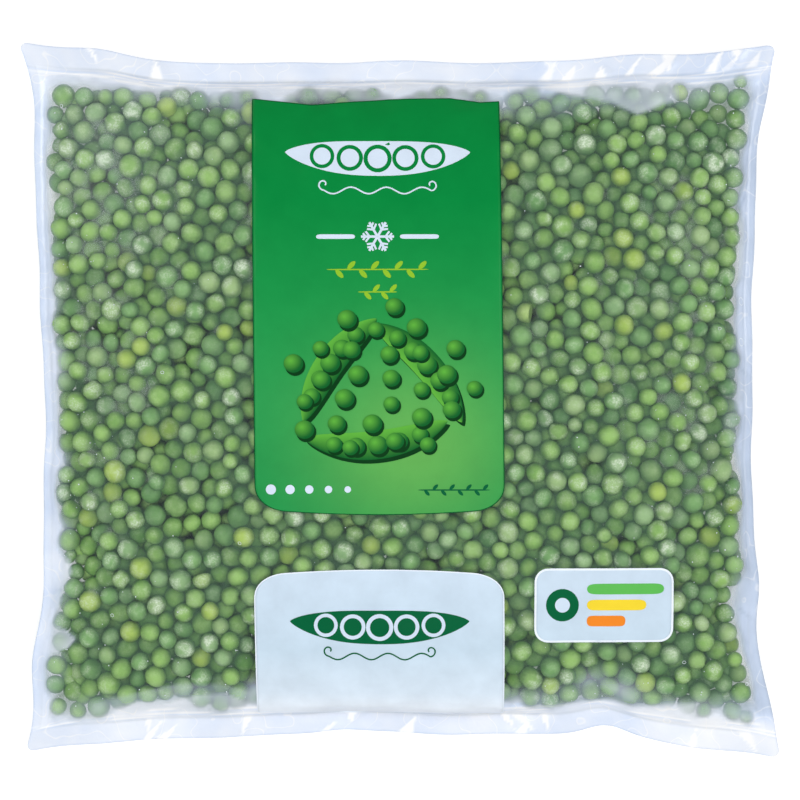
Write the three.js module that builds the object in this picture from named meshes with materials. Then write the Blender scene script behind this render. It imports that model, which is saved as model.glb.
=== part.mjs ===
// A clear pillow bag of frozen peas, lying on its back on a table. The bag is one tube of film with a flat sealed
// band across each end, a creased lip down each side and a full belly, where the peas press the film into low bumps.
// Millimetres, +Z up. The front faces up, the top of the bag points along +Y, and the origin is on the table under
// the middle of the bag. A place on the film is given as on the flat sheet, a across and b along, before the belly
// has drawn its edges in.

import * as THREE from "three";

// Driving dimensions
const HALF_WIDTH = 119.8; // middle to side crease, halfway along the bag
const HALF_LENGTH = 114.3; // middle to the cut edge of a seal band, on the centre line
const BELLY_HEIGHT = 33.5; // table to the top of the belly
const CREASE_HEIGHT = 12.5; // table to the side creases
const END_DROOP = 5; // how far the seal bands hang below the side creases
const SEAL_BAND = 7; // width of the flat band across each end
const SIDE_LIP = 2.8; // width of the pressed crease down each side
const FILM_EDGE = 0.8; // thickness of the two films where they lie together
const CORNER_RADIUS = 3.5; // rounded tips of the bag's corners
const PEA_PITCH = 7.5; // middle to middle of neighbouring peas under the film
const PEA_RELIEF = 1.4; // how far a pea lifts the film above the hollows round it

// How much farther out each corner reaches than the middles of its two edges, as no belly draws it in.
const CORNER_FLARE = {
  top: { left: { x: 10.0, y: 7.4 }, right: { x: 8.8, y: 6.3 } },
  bottom: { left: { x: 8.2, y: 6.2 }, right: { x: 10.2, y: 8.6 } },
};
const FLARE_EASY = 0.42; // share of the sideways flare that grows slowly along the side, and the rest near the end
const FLARE_POWER = { easy: 2, quick: 10, end: 4 };

// Stretches where an edge stands out (push above 0) or is drawn in, each fading over its reach.
const EDGE_SWELLS = {
  left: [{ at: 55, reach: 38, push: 2.0 }, { at: -86, reach: 11, push: 2.3 }],
  right: [{ at: 98, reach: 14, push: 1.6 }, { at: -60, reach: 10, push: 1.2 }, { at: -99, reach: 13, push: 2.4 }],
  top: [{ at: -94, reach: 11, push: 2.1 }, { at: -66, reach: 14, push: -1.4 }, { at: 78, reach: 24, push: 1.2 }],
  bottom: [
    { at: -75, reach: 30, push: 1.3 },
    { at: -18, reach: 9, push: -1.4 },
    { at: 65, reach: 8, push: -3.0 },
    { at: 98, reach: 15, push: 1.5 },
  ],
};
const SWELL_FADE = 4; // power with which a swell fades from its edge to the middle of the bag

// Places where the film is pinched in between the peas: middle, radius and the share of fullness lost there.
const PINCHES = [
  { a: -113, b: -53, radius: 9, loss: 0.75 },
  { a: -116, b: -78, radius: 8, loss: 0.55 },
  { a: 114, b: -66, radius: 9, loss: 0.7 },
  { a: 112, b: 66, radius: 7, loss: 0.35 },
  { a: 96, b: 97, radius: 11, loss: 0.45 },
  { a: 64, b: 99, radius: 12, loss: 0.4 },
  { a: -70, b: 100, radius: 10, loss: 0.35 },
  { a: -40, b: -100, radius: 10, loss: 0.35 },
  { a: 62, b: -100, radius: 12, loss: 0.45 },
];

// Waves of the film: each one's height, its length over a full turn of 2 pi, and where it starts.
const SIDE_RIPPLE = [{ height: 0.3, length: 8.3, start: 0 }, { height: 0.15, length: 4.1, start: 2 }];
const END_RIPPLE = [{ height: 0.3, length: 11, start: 0.4 }, { height: 0.25, length: 5.7, start: 0 }];
const BAND_WAVE = [{ height: 0.8, length: 9, start: 0 }, { height: 0.5, length: 4.3, start: 1 }];
const GATHERS = [{ height: 0.5, length: 2.6, start: 0 }, { height: 0.35, length: 4.4, start: 1 }];
const GATHER_REACH = 11; // how far the gathers run in from a seal band
const BED_ACROSS = [{ height: 0.8, length: 23, start: 0.7 }, { height: 0.5, length: 13, start: 0 }];
const BED_ALONG = [{ height: 0.8, length: 19, start: 0 }, { height: 0.4, length: 31, start: 1 }];

// The shape of the belly
const SIDE_ROUND = 3.2; // power of the curve that rounds it up from the sides: higher is squarer
const END_ROUND = 2.6; // the same from the seal bands
const FLOOR_CONTACT = 0.6; // the underside lies on the table where the bag is fuller than this share
const UNDER_ROUND = 1.7; // power of the curve that rounds the underside up to the edges
const PRESSED_FLAT = 0.5; // the underside lies flat where that curve would hold it less than this off the table

// Lattice of the front: every third point is a pea's top and the others are the hollows between three peas.
const STEP = PEA_PITCH / Math.sqrt(3);
const ROW_STEP = PEA_PITCH / 2;
const JITTER = 0.55;
const TOP_BUMP = { least: 0.6, spread: 0.5 };
const HOLLOW_BUMP = -0.35;
const BUMPS_FROM = { share: 0.12, over: 0.2 }; // fullness where the peas begin to press the film
const EDGE_PROFILE = [0, SIDE_LIP, SIDE_LIP + 1.6, SIDE_LIP + 4.4]; // points in from a side edge, on each row
const END_PROFILE = [0, 1.3]; // rows in from a seal line
const LATTICE_INSET = SIDE_LIP + 7;
const PLAIN_STEP = STEP * 1.2; // between the points of a row without peas
const UNDERSIDE_STEP = 16;
const CORNER_STEPS = 3;

const clamp01 = (t) => Math.min(1, Math.max(0, t));
const smooth = (t) => clamp01(t) ** 2 * (3 - 2 * clamp01(t));
const bell = (distance, reach) => Math.exp(-((distance / reach) ** 2));
const waves = (list, t, shift = 0) =>
  list.reduce((sum, wave) => sum + wave.height * Math.sin(t / wave.length + wave.start + shift), 0);

// A fixed scatter in 0 to 1 for each lattice point.
function scatter(i, j, salt) {
  const s = Math.sin(i * 127.1 + j * 311.7 + salt * 74.7) * 43758.5453;
  return s - Math.floor(s);
}

// How the belly rounds up from an edge, for a place given as a share of the way out to that edge.
const rise = (share, power) => Math.sqrt(Math.max(0, 1 - share ** power));

// How far an edge stands out of its plain curve at a place t along it.
const swell = (edge, t) => EDGE_SWELLS[edge].reduce((sum, s) => sum + s.push * bell(t - s.at, s.reach), 0);

// Where a point of the flat sheet lies once the belly has drawn the middle of each edge in.
function outline(a, b) {
  const across = a / HALF_WIDTH;
  const along = b / HALF_LENGTH;
  const side = a < 0 ? "left" : "right";
  const end = b < 0 ? "bottom" : "top";
  const flare = CORNER_FLARE[end][side];
  const { easy, quick, end: endPower } = FLARE_POWER;
  const sideways = FLARE_EASY * Math.abs(along) ** easy + (1 - FLARE_EASY) * Math.abs(along) ** quick;
  const endways = Math.abs(across) ** endPower;
  const sidePush = swell(side, b) + waves(SIDE_RIPPLE, b, Math.sign(a));
  const endPush = swell(end, a) + waves(END_RIPPLE, a, Math.sign(b));
  return new THREE.Vector2(
    a + flare.x * sideways * across + sidePush * Math.sign(a) * Math.abs(across) ** SWELL_FADE,
    b + flare.y * endways * along + endPush * Math.sign(b) * Math.abs(along) ** SWELL_FADE,
  );
}

// 0 where the two films lie together and 1 where the bag is full.
function fullness(a, b) {
  const across = Math.abs(a) / (HALF_WIDTH - SIDE_LIP);
  const along = Math.abs(b) / (HALF_LENGTH - SEAL_BAND);
  const open = PINCHES.reduce((left, p) => left * (1 - p.loss * bell(Math.hypot(a - p.a, b - p.b), p.radius)), 1);
  return rise(across, SIDE_ROUND) * rise(along, END_ROUND) * open;
}

// Height of the creases and seal bands, which droop at the ends and wave along the bands.
function creaseHeight(a, b) {
  const along = Math.abs(b) / HALF_LENGTH;
  return CREASE_HEIGHT - END_DROOP * along ** 5 + waves(BAND_WAVE, a, 2 * Math.sign(b)) * along ** 12;
}

// Short gathers that run into the belly from the seal bands, where the film bunches.
function gathers(a, b) {
  const fromSeal = HALF_LENGTH - SEAL_BAND - Math.abs(b);
  return waves(GATHERS, a, Math.sign(b)) * smooth(fromSeal / 5) * Math.exp(-Math.max(0, fromSeal) / GATHER_REACH);
}

function frontHeight(a, b, bump) {
  const share = fullness(a, b);
  const crease = creaseHeight(a, b) + FILM_EDGE / 2;
  const relief = PEA_RELIEF * bump * smooth((share - BUMPS_FROM.share) / BUMPS_FROM.over);
  const slow = gathers(a, b) + waves(BED_ACROSS, a) * waves(BED_ALONG, b);
  return crease + (BELLY_HEIGHT - crease) * share + relief + slow * smooth(share * 3);
}

function backHeight(a, b) {
  const crease = creaseHeight(a, b) - FILM_EDGE / 2;
  const height = crease * (1 - clamp01(fullness(a, b) / FLOOR_CONTACT)) ** UNDER_ROUND;
  return height < PRESSED_FLAT ? 0 : height;
}

// Half the width of the flat sheet at b, drawn in where a corner tip is rounded.
function halfWidthAt(b) {
  const past = Math.abs(b) - (HALF_LENGTH - CORNER_RADIUS);
  if (past <= 0) return HALF_WIDTH;
  return HALF_WIDTH - CORNER_RADIUS + Math.sqrt(Math.max(0, CORNER_RADIUS ** 2 - past ** 2));
}

// The rows of the film along the bag: round each pair of corner tips, at the seal lines and every lattice row between.
function rowPlaces() {
  const sealLine = HALF_LENGTH - SEAL_BAND;
  const end = [];
  for (let k = 0; k <= CORNER_STEPS; k++) {
    const turn = (k / CORNER_STEPS) * (Math.PI / 2);
    end.push({ b: HALF_LENGTH - CORNER_RADIUS * (1 - Math.cos(turn)) });
  }
  for (const inset of END_PROFILE) end.push({ b: sealLine - inset });
  const last = Math.floor((sealLine - 2 * END_PROFILE.at(-1)) / ROW_STEP);
  const rows = end.map((row) => ({ b: -row.b }));
  for (let j = -last; j <= last; j++) rows.push({ b: j * ROW_STEP, lattice: j });
  return rows.concat(end.reverse());
}

// Points in from both side edges, which give the lip and the round of the belly above it.
function edgePoints(b) {
  const half = halfWidthAt(b);
  const near = EDGE_PROFILE.map((inset) => ({ a: inset - half, b, bump: 0 }));
  return [near, near.map((p) => ({ ...p, a: -p.a })).reverse()];
}

function evenPoints(b, step) {
  const reach = HALF_WIDTH - LATTICE_INSET;
  const count = Math.round((2 * reach) / step);
  return Array.from({ length: count + 1 }, (_, i) => ({ a: -reach + (i * 2 * reach) / count, b, bump: 0 }));
}

function latticePoints(b, row) {
  const reach = HALF_WIDTH - LATTICE_INSET;
  const points = [];
  for (let i = Math.ceil(-reach / STEP - row / 2); (i + row / 2) * STEP <= reach; i++) {
    const isTop = (((i - row) % 3) + 3) % 3 === 0;
    const chance = scatter(i, row, 3);
    points.push({
      a: (i + row / 2) * STEP + JITTER * (2 * scatter(i, row, 1) - 1),
      b: b + JITTER * (2 * scatter(i, row, 2) - 1),
      bump: isTop ? TOP_BUMP.least + TOP_BUMP.spread * chance : HOLLOW_BUMP * chance,
    });
  }
  return points;
}

// Joins two rows of points that run the same way with one strip of triangles.
function stitch(lower, upper, faces, flip) {
  let i = 0;
  let j = 0;
  const add = (p, q, r) => faces.push(...(flip ? [p.index, r.index, q.index] : [p.index, q.index, r.index]));
  while (i < lower.length - 1 || j < upper.length - 1) {
    const nextLower = i < lower.length - 1 ? lower[i + 1].run : Infinity;
    const nextUpper = j < upper.length - 1 ? upper[j + 1].run : Infinity;
    if (nextLower <= nextUpper) {
      add(lower[i], lower[i + 1], upper[j]);
      i += 1;
    } else {
      add(lower[i], upper[j + 1], upper[j]);
      j += 1;
    }
  }
}

function bagGeometry() {
  const vertices = [];
  const faces = [];
  const keep = (points, height) =>
    points.map((p) => {
      const { x, y } = outline(p.a, p.b);
      vertices.push(x, y, height(p.a, p.b, p.bump));
      return { index: vertices.length / 3 - 1, run: p.a };
    });
  const rows = rowPlaces().map(({ b, lattice }) => {
    const [left, right] = edgePoints(b);
    const middle = lattice === undefined ? evenPoints(b, PLAIN_STEP) : latticePoints(b, lattice);
    return {
      b,
      front: keep([...left, ...middle, ...right], frontHeight),
      back: keep([...left, ...evenPoints(b, UNDERSIDE_STEP), ...right], backHeight),
    };
  });
  for (let k = 1; k < rows.length; k++) {
    stitch(rows[k - 1].front, rows[k].front, faces, false);
    stitch(rows[k - 1].back, rows[k].back, faces, true);
  }
  stitch(rows[0].back, rows[0].front, faces, false);
  stitch(rows.at(-1).back, rows.at(-1).front, faces, true);
  for (const [end, flip] of [[0, true], [-1, false]]) {
    const edge = (side) => rows.map((row) => ({ index: row[side].at(end).index, run: row.b }));
    stitch(edge("back"), edge("front"), faces, flip);
  }
  const geometry = new THREE.BufferGeometry()
    .setAttribute("position", new THREE.Float32BufferAttribute(vertices, 3))
    .setIndex(faces);
  geometry.computeBoundingBox();
  const { min, max } = geometry.boundingBox;
  return geometry.translate(-(min.x + max.x) / 2, -(min.y + max.y) / 2, -min.z);
}

function bag() {
  const finish = new THREE.MeshStandardMaterial({ color: 0x7fa361, roughness: 0.35, metalness: 0 });
  const mesh = new THREE.Mesh(bagGeometry(), finish);
  mesh.name = "bag";
  return mesh;
}

const frozenPeaBag = new THREE.Group();
frozenPeaBag.name = "frozen_pea_bag";
frozenPeaBag.add(bag());

export default frozenPeaBag;
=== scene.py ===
# A clear bag of frozen peas, lying on its back. The peas are packed into the bag's shape by pushing
# overlapping ones apart, then the film is drawn tight over them, and the print lies on the film. Sizes are
# millimetres until a mesh is made: the bag's front faces up, and its top end points along +Y.
import math

import bpy
import numpy as np
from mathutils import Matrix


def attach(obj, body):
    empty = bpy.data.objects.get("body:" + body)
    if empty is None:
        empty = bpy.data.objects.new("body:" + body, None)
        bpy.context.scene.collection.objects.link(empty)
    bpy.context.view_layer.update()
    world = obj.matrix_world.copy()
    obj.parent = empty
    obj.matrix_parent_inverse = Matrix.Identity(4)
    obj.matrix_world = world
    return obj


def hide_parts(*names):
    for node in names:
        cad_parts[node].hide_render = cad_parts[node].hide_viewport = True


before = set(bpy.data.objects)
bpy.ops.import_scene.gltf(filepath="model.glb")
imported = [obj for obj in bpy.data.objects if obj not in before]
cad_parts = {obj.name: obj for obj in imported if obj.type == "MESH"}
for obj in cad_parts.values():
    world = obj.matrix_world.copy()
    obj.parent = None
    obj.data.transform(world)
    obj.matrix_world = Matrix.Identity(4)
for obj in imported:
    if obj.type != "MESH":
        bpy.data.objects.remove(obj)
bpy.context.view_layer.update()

MM = 0.001
SEED = 7

# The bag, as on its flat sheet: a across and b along, before the belly has drawn the edges in
HALF_WIDTH = 119.8
HALF_LENGTH = 114.3
BELLY_HEIGHT = 33.5
CREASE_HEIGHT = 12.5
END_DROOP = 5.0
SEAL_BAND = 7.0
SIDE_LIP = 2.8
FILM_EDGE = 0.3
CORNER_RADIUS = 3.5
CORNER_FLARE = {  # left and right corners at the top, then at the bottom: farther across, farther along
    "top": ((10.0, 7.4), (8.8, 6.3)),
    "bottom": ((8.2, 6.2), (10.2, 8.6)),
}
FLARE_EASY = 0.42
EDGE_SWELLS = {  # place along the edge, reach, push outwards
    "left": ((55, 38, 2.0), (-86, 11, 2.3)),
    "right": ((98, 14, 1.6), (-60, 10, 1.2), (-99, 13, 2.4)),
    "top": ((-94, 11, 2.1), (-66, 14, -1.4), (78, 24, 1.2)),
    "bottom": ((-75, 30, 1.3), (-18, 9, -1.4), (65, 8, -3.0), (98, 15, 1.5)),
}
PINCHES = (  # a, b, radius and the share of fullness lost
    (-113, -53, 9, 0.75),
    (-116, -78, 8, 0.55),
    (114, -66, 9, 0.7),
    (112, 66, 7, 0.35),
    (96, 97, 11, 0.45),
    (64, 99, 12, 0.4),
    (-70, 100, 10, 0.35),
    (-40, -100, 10, 0.35),
    (62, -100, 12, 0.15),
)
SIDE_RIPPLE = ((0.3, 8.3, 0.0), (0.15, 4.1, 2.0))  # height, length and start of each wave
END_RIPPLE = ((0.3, 11, 0.4), (0.25, 5.7, 0.0))
BAND_WAVE = ((0.8, 9, 0.0), (0.5, 4.3, 1.0))
GATHERS = ((0.5, 2.6, 0.0), (0.35, 4.4, 1.0))
GATHER_REACH = 11.0
BED_ACROSS = ((0.8, 23, 0.7), (0.5, 13, 0.0))
BED_ALONG = ((0.8, 19, 0.0), (0.4, 31, 1.0))
SIDE_ROUND = 3.2
END_ROUND = 2.6
FLOOR_CONTACT = 0.6
UNDER_ROUND = 1.7

# The peas
PEA_COUNT = 4150
PEA_DIAMETER = 7.05
PEA_SPREAD = 0.58
PEA_SMALLEST = 5.4
PEA_LARGEST = 8.4
PEA_SUNK = 0.6  # how far under the front film a pea of the top layer lies on average
SUNK_SHARE = 0.5  # share of the peas that don't come nearer to the film than this
SUNK_DEEP = (2.2, 5.2)
FREE_AT_LEFT = -0.2  # empty film between a side lip and the first peas
FREE_AT_RIGHT = 0.4
FREE_AT_END = 0.4
FREE_UNEVEN = 2.2
FREE_SPOTS = (  # a, b, reach and how much farther in the peas begin
    (-106, 110, 12, 8.0),
    (-74, -105, 15, 3.0),
    (77, 103, 9, 2.0),
    (112, -68, 8, 2.5),
)
FILLER_SIZES = (2.3, 3.3)  # radii of the peas that fill holes down to the back film
FILLER_OVERLAP = 1.0
FILLER_STEP = 0.8
DEEP_FILLER_FROM = 12  # where the bag is thicker than this, a filler lies under other peas
DEEP_FILLER_OVERLAP = 2.5
PACK_REACH = (120, 114)  # the peas start at random within this reach of the middle
PACK_STEPS = 280
PUSH_SHARE = 0.42  # share of an overlap by which each pea of a pair moves
SUNK_FADE = 12  # the depth under the film fades out this near to the edges
PAIR_REFRESH = 10
PAIR_BLOCK = 500
UNDER_DEPTH = 4.2  # peas deeper than this are only seen in the gaps, so they are plainer
CORE_DEPTH = 9.0  # peas deeper than this are never seen
FIELD_STEP = 1.0
FIELD_MARGIN = 14
FIELD_STEEPEST = 3

# The film over them
FILM_STEP = 0.6  # grid on which it is drawn tight
FILM_GAP = 0.3
FILM_SAG = 0.05  # how strongly it is drawn in between the peas, per mm
FILM_TURNS = 320
BRIDGE_REACH = 3.6  # stiff film bridges gaps between peas up to about this far from them
BRIDGE_BLUR = 1.8
OPEN_REACH = 2.4  # film is open where no pea is near it within about this reach
PAINTED_GAP_SHADE = 0.46  # how much of the view the painted dark green shade between the peas hides
MESH_STEP = 0.88  # grid of its mesh
SIDE_LINES = (0, 0.25, 0.9, 1.8, SIDE_LIP, 3.4, 4.1, 4.9)  # lines of the mesh in from each side
END_LINES = (0, 0.25, 0.8, 1.6, 2.5, 3.4, 4.3, 5.2, 5.8, 6.3, 6.65, SEAL_BAND)  # and in from each end
END_LINES += (7.35, 7.7, 8.05, 8.4, 8.8, 9.3, 10)
BAND_FOLDS = 13
BORDER_CREASES = (0.1, 1.0, 2.1)  # how far in from the seal band each lies

# Folds where slack film lies white: the points of the line, the white side, the fade and the strength
FLAPS_ACROSS = (
    (((33, -104.6), (55, -102), (72, -100.6), (79, -103.4), (85, -102.4), (103, -101.2)), -1, 7, 0.85),
    (((46, 105), (60, 102), (71, 99.4), (80, 95.2), (84, 96.6), (96, 101.5)), 1, 14, 0.9),
    (((-100, -104), (-88, -101.2), (-78, -101.8), (-68, -98.4), (-60, -97.6), (-50, -101.6)), -1, 12, 0.85),
    (((-108, -101.5), (-90, -98.4), (-76, -95.2), (-62, -94.6), (-46, -98.2)), -1, 20, 0.34),
    (((-12, -104), (2, -101.4), (20, -102), (38, -104.4)), -1, 5, 0.5),
)
FLAPS_ALONG = (  # the same, with each point's place along first
    (((-66.5, -121), (-63, -112.5), (-58.5, -110), (-53.5, -110.8), (-49.5, -119)), -1, 9, 0.7),
    (((-88, -122), (-84, -111.6), (-80.5, -108.8), (-77.5, -112.6), (-74, -121)), -1, 11, 0.85),
    (((6, 121), (12, 114.2), (24, 112.8), (38, 113.6), (60, 113.2), (72, 119)), 1, 9, 0.45),
    (((-76, 122), (-70, 114.6), (-62, 113), (-55, 119)), 1, 8, 0.6),
)

# The print, by its edges on the finished bag. Corners are given across and along, lean is how much farther
# left the top lies than the bottom, bow is how much a round end bulges, and the top line is given by its dips
GREEN_PANEL = {
    "left": -49.0,
    "right": 34.1,
    "bottom": -38.2,
    "top": 101.9,
    "corner": (10.5, 8.5),
    "round": "bottom",
    "lean": 1.5,
    "bow": 2.0,
    "top_line": ((-50, -0.5), (-30, -2.7), (-17, -1.7), (-4, -0.7), (17, -0.2), (27, -1.6), (35, -1.1)),
}
WHITE_PANEL = {
    "left": -48.4,
    "right": 34.8,
    "bottom": -106.0,
    "top": -56.8,
    "corner": (10.5, 9.0),
    "round": "top",
    "lean": 0.4,
    "bow": 2.0,
}
BADGE = {
    "left": 45.3,
    "right": 91.4,
    "bottom": -80.9,
    "top": -56.6,
    "corner": (4.6, 4.6),
    "round": "both",
    "lean": 0.0,
    "bow": 0.0,
}
PANELS = (GREEN_PANEL, WHITE_PANEL, BADGE)
PRINT_MIDDLE = -7.5  # across, of the motifs on the two large panels
GLOW = (("X", 5, 31), ("Y", -15, 28))  # middle and reach of the green panel's glow on each axis
INK_LIFT = 0.2
INK_THICK = 0.08
MOTIF_LIFT = 0.04

# Ice grains and droplets on the inside of the film
GRAINS = 300
DROPS = 7
LONG_DROPS = ((115.6, 33.4), (115.6, 19.6))
RIM_SIDES = 18
RIM_ROUND = 6
RIM_RADIUS = 0.07

# The picture
VIEW_WIDTH = 272
VIEW_LEVEL = 10
FLOOR_SIZE = 6000


def smooth(t):
    t = np.clip(t, 0.0, 1.0)
    return t * t * (3.0 - 2.0 * t)


def bell(distance, reach):
    return np.exp(-((distance / reach) ** 2))


def waves(rows, t, shift=0.0):
    return sum(height * np.sin(t / length + start + shift) for height, length, start in rows)


def wander(x, y, size, seed):
    """Smooth random values from -1 to 1 that change over about the given size."""
    grid = np.random.default_rng(seed).uniform(-1, 1, (64, 64))
    u, v = np.asarray(x) / size + 640.0, np.asarray(y) / size + 640.0
    i, j = np.floor(u).astype(int), np.floor(v).astype(int)
    u, v = smooth(u - i), smooth(v - j)
    i, j, i2, j2 = i % 64, j % 64, (i + 1) % 64, (j + 1) % 64
    low = grid[i, j] * (1 - u) + grid[i2, j] * u
    high = grid[i, j2] * (1 - u) + grid[i2, j2] * u
    return low * (1 - v) + high * v


def rise(share, power):
    return np.sqrt(np.maximum(0.0, 1.0 - np.abs(share) ** power))


def swell(edge, t):
    return sum(push * bell(t - at, reach) for at, reach, push in EDGE_SWELLS[edge])


def flare(across, along, axis):
    """How far the nearest corner stands out along one axis."""
    (top_left, top_right), (low_left, low_right) = CORNER_FLARE["top"], CORNER_FLARE["bottom"]
    top = np.where(across < 0, top_left[axis], top_right[axis])
    low = np.where(across < 0, low_left[axis], low_right[axis])
    return np.where(along < 0, low, top)


def outline(a, b):
    """Where a point of the flat sheet lies once the belly has drawn the edges in, before centring."""
    across, along = a / HALF_WIDTH, b / HALF_LENGTH
    sideways = FLARE_EASY * np.abs(along) ** 2 + (1 - FLARE_EASY) * np.abs(along) ** 10
    side_push = np.where(a < 0, swell("left", b), swell("right", b)) + waves(SIDE_RIPPLE, b, np.sign(a))
    end_push = np.where(b < 0, swell("bottom", a), swell("top", a)) + waves(END_RIPPLE, a, np.sign(b))
    x = a + flare(across, along, 0) * sideways * across + side_push * np.sign(a) * np.abs(across) ** 4
    y = b + flare(across, along, 1) * across**4 * along + end_push * np.sign(b) * np.abs(along) ** 4
    return x, y


def half_width_at(b):
    """Half the flat sheet's width, drawn in where a corner tip is rounded."""
    past = np.maximum(0.0, np.abs(b) - (HALF_LENGTH - CORNER_RADIUS))
    return HALF_WIDTH - CORNER_RADIUS + np.sqrt(np.maximum(0.0, CORNER_RADIUS**2 - past**2))


def sheet_centre():
    """Middle of the bag's outline, which the frame puts at its origin."""
    b = np.linspace(-HALF_LENGTH, HALF_LENGTH, 400)
    a = np.linspace(-1, 1, 400)
    rim = [outline(s * half_width_at(b), b) for s in (-1, 1)]
    rim += [outline(a * half_width_at(HALF_LENGTH), np.full_like(a, s * HALF_LENGTH)) for s in (-1, 1)]
    xs, ys = (np.concatenate([points[k] for points in rim]) for k in (0, 1))
    return (xs.min() + xs.max()) / 2, (ys.min() + ys.max()) / 2


CENTRE_X, CENTRE_Y = sheet_centre()


def to_bag(a, b):
    x, y = outline(a, b)
    return x - CENTRE_X, y - CENTRE_Y


def to_sheet(x, y):
    """The flat sheet's point that lies at x, y."""
    a, b = np.array(x, dtype=float), np.array(y, dtype=float)
    for _ in range(12):
        here_x, here_y = to_bag(a, b)
        a = np.clip(a + x - here_x, -HALF_WIDTH * 1.1, HALF_WIDTH * 1.1)
        b = np.clip(b + y - here_y, -HALF_LENGTH * 1.1, HALF_LENGTH * 1.1)
    return a, b


def from_lip(a):
    return HALF_WIDTH - SIDE_LIP - np.abs(a)


def from_seal(b):
    return HALF_LENGTH - SEAL_BAND - np.abs(b)


def fullness(a, b):
    """0 where the two films lie together and 1 where the bag is full."""
    share = rise(a / (HALF_WIDTH - SIDE_LIP), SIDE_ROUND) * rise(b / (HALF_LENGTH - SEAL_BAND), END_ROUND)
    for pinch_a, pinch_b, radius, loss in PINCHES:
        share = share * (1 - loss * bell(np.hypot(a - pinch_a, b - pinch_b), radius))
    return share


def crease_height(a, b):
    along = np.abs(b) / HALF_LENGTH
    return CREASE_HEIGHT - END_DROOP * along**5 + waves(BAND_WAVE, a, 2 * np.sign(b)) * along**12


def gathers(a, b):
    inwards = np.maximum(0.0, from_seal(b))
    return waves(GATHERS, a, np.sign(b)) * smooth(inwards / 5) * np.exp(-inwards / GATHER_REACH)


def front_height(a, b):
    share = fullness(a, b)
    crease = crease_height(a, b)
    bed = waves(BED_ACROSS, a) * waves(BED_ALONG, b)
    return crease + (BELLY_HEIGHT - crease) * share + bed * smooth(share * 3)


def back_height(a, b):
    return crease_height(a, b) * (1 - np.clip(fullness(a, b) / FLOOR_CONTACT, 0, 1)) ** UNDER_ROUND


def look_up(field, low_x, low_y, step, x, y):
    """A grid's value at any places, from the four points round each."""
    u = np.clip((x - low_x) / step, 0, field.shape[0] - 1.001)
    v = np.clip((y - low_y) / step, 0, field.shape[1] - 1.001)
    i, j = u.astype(int), v.astype(int)
    u, v = u - i, v - j
    return (
        field[i, j] * (1 - u) * (1 - v)
        + field[i + 1, j] * u * (1 - v)
        + field[i, j + 1] * (1 - u) * v
        + field[i + 1, j + 1] * u * v
    )


# Packing the peas


def room_at(a, b):
    """How far a place is inside the region that holds peas."""
    side_free = np.where(a < 0, FREE_AT_LEFT, FREE_AT_RIGHT)
    side_free = side_free + FREE_UNEVEN * (0.8 + wander(0 * a + 30 * np.sign(a), b, 6.5, SEED + 30))
    end_free = FREE_AT_END + FREE_UNEVEN * (1 + wander(a, 0 * b + 30 * np.sign(b), 8, SEED + 31))
    room = np.minimum(from_lip(a) - side_free, from_seal(b) - end_free)
    for free_a, free_b, reach, more in FREE_SPOTS:
        room = room - more * bell(np.hypot(a - free_a, b - free_b), reach)
    return room


def walls():
    """The walls on a plain grid: heights of front and back, and room to the edges, each with its slopes."""
    low_x, low_y = -HALF_WIDTH - FIELD_MARGIN, -HALF_LENGTH - FIELD_MARGIN
    xs = np.arange(low_x, -low_x + FIELD_STEP, FIELD_STEP)
    ys = np.arange(low_y, -low_y + FIELD_STEP, FIELD_STEP)
    a, b = to_sheet(*np.meshgrid(xs, ys, indexing="ij"))
    fields = []
    for field in (front_height(a, b), back_height(a, b), room_at(a, b)):
        slopes = np.gradient(field, FIELD_STEP)
        fields.append((field, *(np.clip(slope, -FIELD_STEEPEST, FIELD_STEEPEST) for slope in slopes)))
    return low_x, low_y, fields


def keep_inside(spots, radius, sunk, low_x, low_y, fields):
    """Moves each pea that is through a wall back in."""
    for (field, slope_x, slope_y), way, extra in zip(fields[:2], (1, -1), (sunk, 0)):
        x, y, z = spots.T
        wall, sx, sy = (look_up(f, low_x, low_y, FIELD_STEP, x, y) for f in (field, slope_x, slope_y))
        length = np.sqrt(1 + sx**2 + sy**2)
        gap = way * (wall - z) / length - radius - FILM_GAP - extra
        normal = way * np.stack([-sx, -sy, np.ones_like(sx)], axis=1) / length[:, None]
        spots += normal * np.minimum(gap, 0)[:, None]
    room, sx, sy = (look_up(f, low_x, low_y, FIELD_STEP, spots[:, 0], spots[:, 1]) for f in fields[2])
    short = np.maximum(0.0, radius - room)
    length = np.sqrt(sx**2 + sy**2) + 1e-6
    spots[:, 0] += short * sx / length
    spots[:, 1] += short * sy / length


def near_pairs(spots, reach):
    """Every pair of peas whose middles are closer than reach."""
    flat = spots.astype(np.float32)
    square = (flat**2).sum(axis=1)
    firsts, seconds = [], []
    for start in range(0, len(flat), PAIR_BLOCK):
        block = slice(start, start + PAIR_BLOCK)
        apart = square[block, None] + square[None, :] - 2 * flat[block] @ flat.T
        i, j = np.nonzero(apart < reach**2)
        i = i + start
        firsts.append(i[i < j])
        seconds.append(j[i < j])
    return np.concatenate(firsts), np.concatenate(seconds)


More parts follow.
